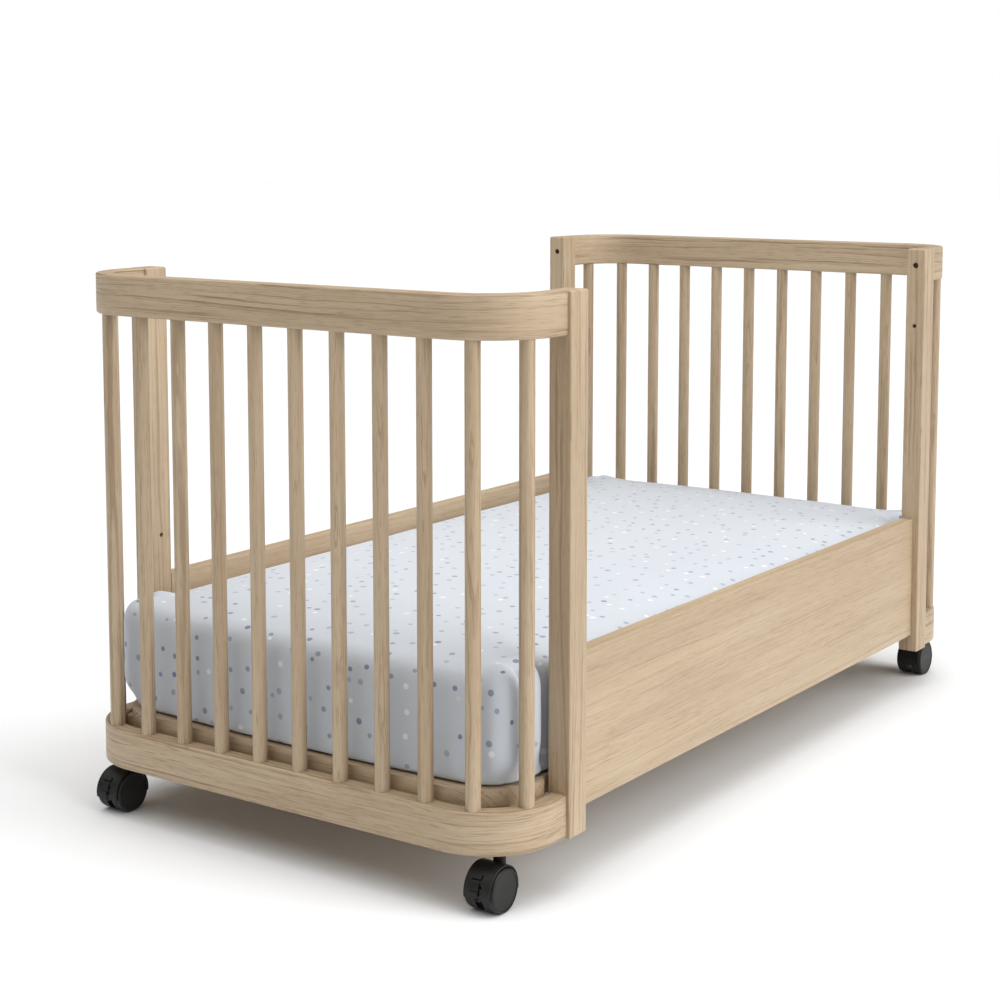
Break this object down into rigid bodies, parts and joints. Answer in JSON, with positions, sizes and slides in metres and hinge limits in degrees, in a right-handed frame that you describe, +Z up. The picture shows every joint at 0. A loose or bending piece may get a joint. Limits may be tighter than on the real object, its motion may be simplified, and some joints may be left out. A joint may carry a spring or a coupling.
{
  "type": "baby crib",
  "caption": "Wooden baby crib with bent slatted ends, low side panels, mattress in a dotted fitted sheet and braked twin-wheel casters.",
  "frame": {"origin": "on the floor, under the middle of the bed", "axes": "+X along the bed from the foot end to the head end, +Y across it from the front side to the rear side, +Z up"},
  "size_m": [1.4, 0.76, 0.77],
  "materials": {
    "oak": "matt-lacquered light oak",
    "sheet_fabric": "pale blue cotton sheet with small dots",
    "caster_plastic": "satin black moulded plastic",
    "steel": "zinc-plated steel"
  },
  "bodies": {
    "frame": {"foot_top_rail": "oak", "foot_bottom_rail": "oak", "foot_dowels": "oak", "head_top_rail": "oak", "head_bottom_rail": "oak", "head_dowels": "oak", "foot_front_post": "oak", "foot_front_corner_block": "oak", "foot_rear_post": "oak", "foot_rear_corner_block": "oak", "head_front_post": "oak", "head_front_corner_block": "oak", "head_rear_post": "oak", "head_rear_corner_block": "oak", "front_panel": "oak", "front_ledger": "oak", "rear_panel": "oak", "rear_ledger": "oak", "base_board": "oak", "rail_bolts": "steel", "panel_bolts": "steel", "panel_barrel_nuts": "steel", "ledger_screws": "steel", "base_board_screws": "steel", "caster_sockets": "caster_plastic", "foot_front_caster_stem": "steel", "foot_rear_caster_stem": "steel", "head_front_caster_stem": "steel", "head_rear_caster_stem": "steel"},
    "mattress": {"mattress": "sheet_fabric"},
    "foot_front_caster": {"foot_front_caster_hood": "caster_plastic", "foot_front_caster_axle": "steel"},
    "foot_front_caster_front_wheel": {"foot_front_caster_front_wheel": "caster_plastic"},
    "foot_front_caster_rear_wheel": {"foot_front_caster_rear_wheel": "caster_plastic"},
    "foot_front_caster_brake": {"foot_front_caster_brake_lever": "caster_plastic"},
    "foot_rear_caster": {"foot_rear_caster_hood": "caster_plastic", "foot_rear_caster_axle": "steel"},
    "foot_rear_caster_front_wheel": {"foot_rear_caster_front_wheel": "caster_plastic"},
    "foot_rear_caster_rear_wheel": {"foot_rear_caster_rear_wheel": "caster_plastic"},
    "foot_rear_caster_brake": {"foot_rear_caster_brake_lever": "caster_plastic"},
    "head_front_caster": {"head_front_caster_hood": "caster_plastic", "head_front_caster_axle": "steel"},
    "head_front_caster_front_wheel": {"head_front_caster_front_wheel": "caster_plastic"},
    "head_front_caster_rear_wheel": {"head_front_caster_rear_wheel": "caster_plastic"},
    "head_front_caster_brake": {"head_front_caster_brake_lever": "caster_plastic"},
    "head_rear_caster": {"head_rear_caster_hood": "caster_plastic", "head_rear_caster_axle": "steel"},
    "head_rear_caster_front_wheel": {"head_rear_caster_front_wheel": "caster_plastic"},
    "head_rear_caster_rear_wheel": {"head_rear_caster_rear_wheel": "caster_plastic"},
    "head_rear_caster_brake": {"head_rear_caster_brake_lever": "caster_plastic"}
  },
  "joints": [
    {"name": "mattress_lift", "type": "slide", "parent": "frame", "child": "mattress", "axis": [0, 0, 1], "range_m": [0, 0.25]},
    {"name": "foot_front_caster_swivel", "type": "hinge", "parent": "frame", "child": "foot_front_caster", "pos_m": [-0.643, -0.323, 0.06], "axis": [0, 0, 1], "continuous": true},
    {"name": "foot_front_caster_front_wheel_spin", "type": "hinge", "parent": "foot_front_caster", "child": "foot_front_caster_front_wheel", "pos_m": [-0.662, -0.323, 0.0285], "axis": [0, 1, 0], "continuous": true},
    {"name": "foot_front_caster_rear_wheel_spin", "type": "hinge", "parent": "foot_front_caster", "child": "foot_front_caster_rear_wheel", "pos_m": [-0.662, -0.323, 0.0285], "axis": [0, 1, 0], "continuous": true},
    {"name": "foot_front_caster_brake_lift", "type": "hinge", "parent": "foot_front_caster", "child": "foot_front_caster_brake", "pos_m": [-0.68876, -0.323, 0.04395], "axis": [0, 1, 0], "range_deg": [0, 20]},
    {"name": "foot_rear_caster_swivel", "type": "hinge", "parent": "frame", "child": "foot_rear_caster", "pos_m": [-0.643, 0.323, 0.06], "axis": [0, 0, 1], "continuous": true},
    {"name": "foot_rear_caster_front_wheel_spin", "type": "hinge", "parent": "foot_rear_caster", "child": "foot_rear_caster_front_wheel", "pos_m": [-0.662, 0.323, 0.0285], "axis": [0, 1, 0], "continuous": true},
    {"name": "foot_rear_caster_rear_wheel_spin", "type": "hinge", "parent": "foot_rear_caster", "child": "foot_rear_caster_rear_wheel", "pos_m": [-0.662, 0.323, 0.0285], "axis": [0, 1, 0], "continuous": true},
    {"name": "foot_rear_caster_brake_lift", "type": "hinge", "parent": "foot_rear_caster", "child": "foot_rear_caster_brake", "pos_m": [-0.68876, 0.323, 0.04395], "axis": [0, 1, 0], "range_deg": [0, 20]},
    {"name": "head_front_caster_swivel", "type": "hinge", "parent": "frame", "child": "head_front_caster", "pos_m": [0.643, -0.323, 0.06], "axis": [0, 0, 1], "continuous": true},
    {"name": "head_front_caster_front_wheel_spin", "type": "hinge", "parent": "head_front_caster", "child": "head_front_caster_front_wheel", "pos_m": [0.662, -0.323, 0.0285], "axis": [0, 1, 0], "continuous": true},
    {"name": "head_front_caster_rear_wheel_spin", "type": "hinge", "parent": "head_front_caster", "child": "head_front_caster_rear_wheel", "pos_m": [0.662, -0.323, 0.0285], "axis": [0, 1, 0], "continuous": true},
    {"name": "head_front_caster_brake_lift", "type": "hinge", "parent": "head_front_caster", "child": "head_front_caster_brake", "pos_m": [0.68876, -0.323, 0.04395], "axis": [0, -1, 0], "range_deg": [0, 20]},
    {"name": "head_rear_caster_swivel", "type": "hinge", "parent": "frame", "child": "head_rear_caster", "pos_m": [0.643, 0.323, 0.06], "axis": [0, 0, 1], "continuous": true},
    {"name": "head_rear_caster_front_wheel_spin", "type": "hinge", "parent": "head_rear_caster", "child": "head_rear_caster_front_wheel", "pos_m": [0.662, 0.323, 0.0285], "axis": [0, 1, 0], "continuous": true},
    {"name": "head_rear_caster_rear_wheel_spin", "type": "hinge", "parent": "head_rear_caster", "child": "head_rear_caster_rear_wheel", "pos_m": [0.662, 0.323, 0.0285], "axis": [0, 1, 0], "continuous": true},
    {"name": "head_rear_caster_brake_lift", "type": "hinge", "parent": "head_rear_caster", "child": "head_rear_caster_brake", "pos_m": [0.68876, 0.323, 0.04395], "axis": [0, -1, 0], "range_deg": [0, 20]}
  ]
}
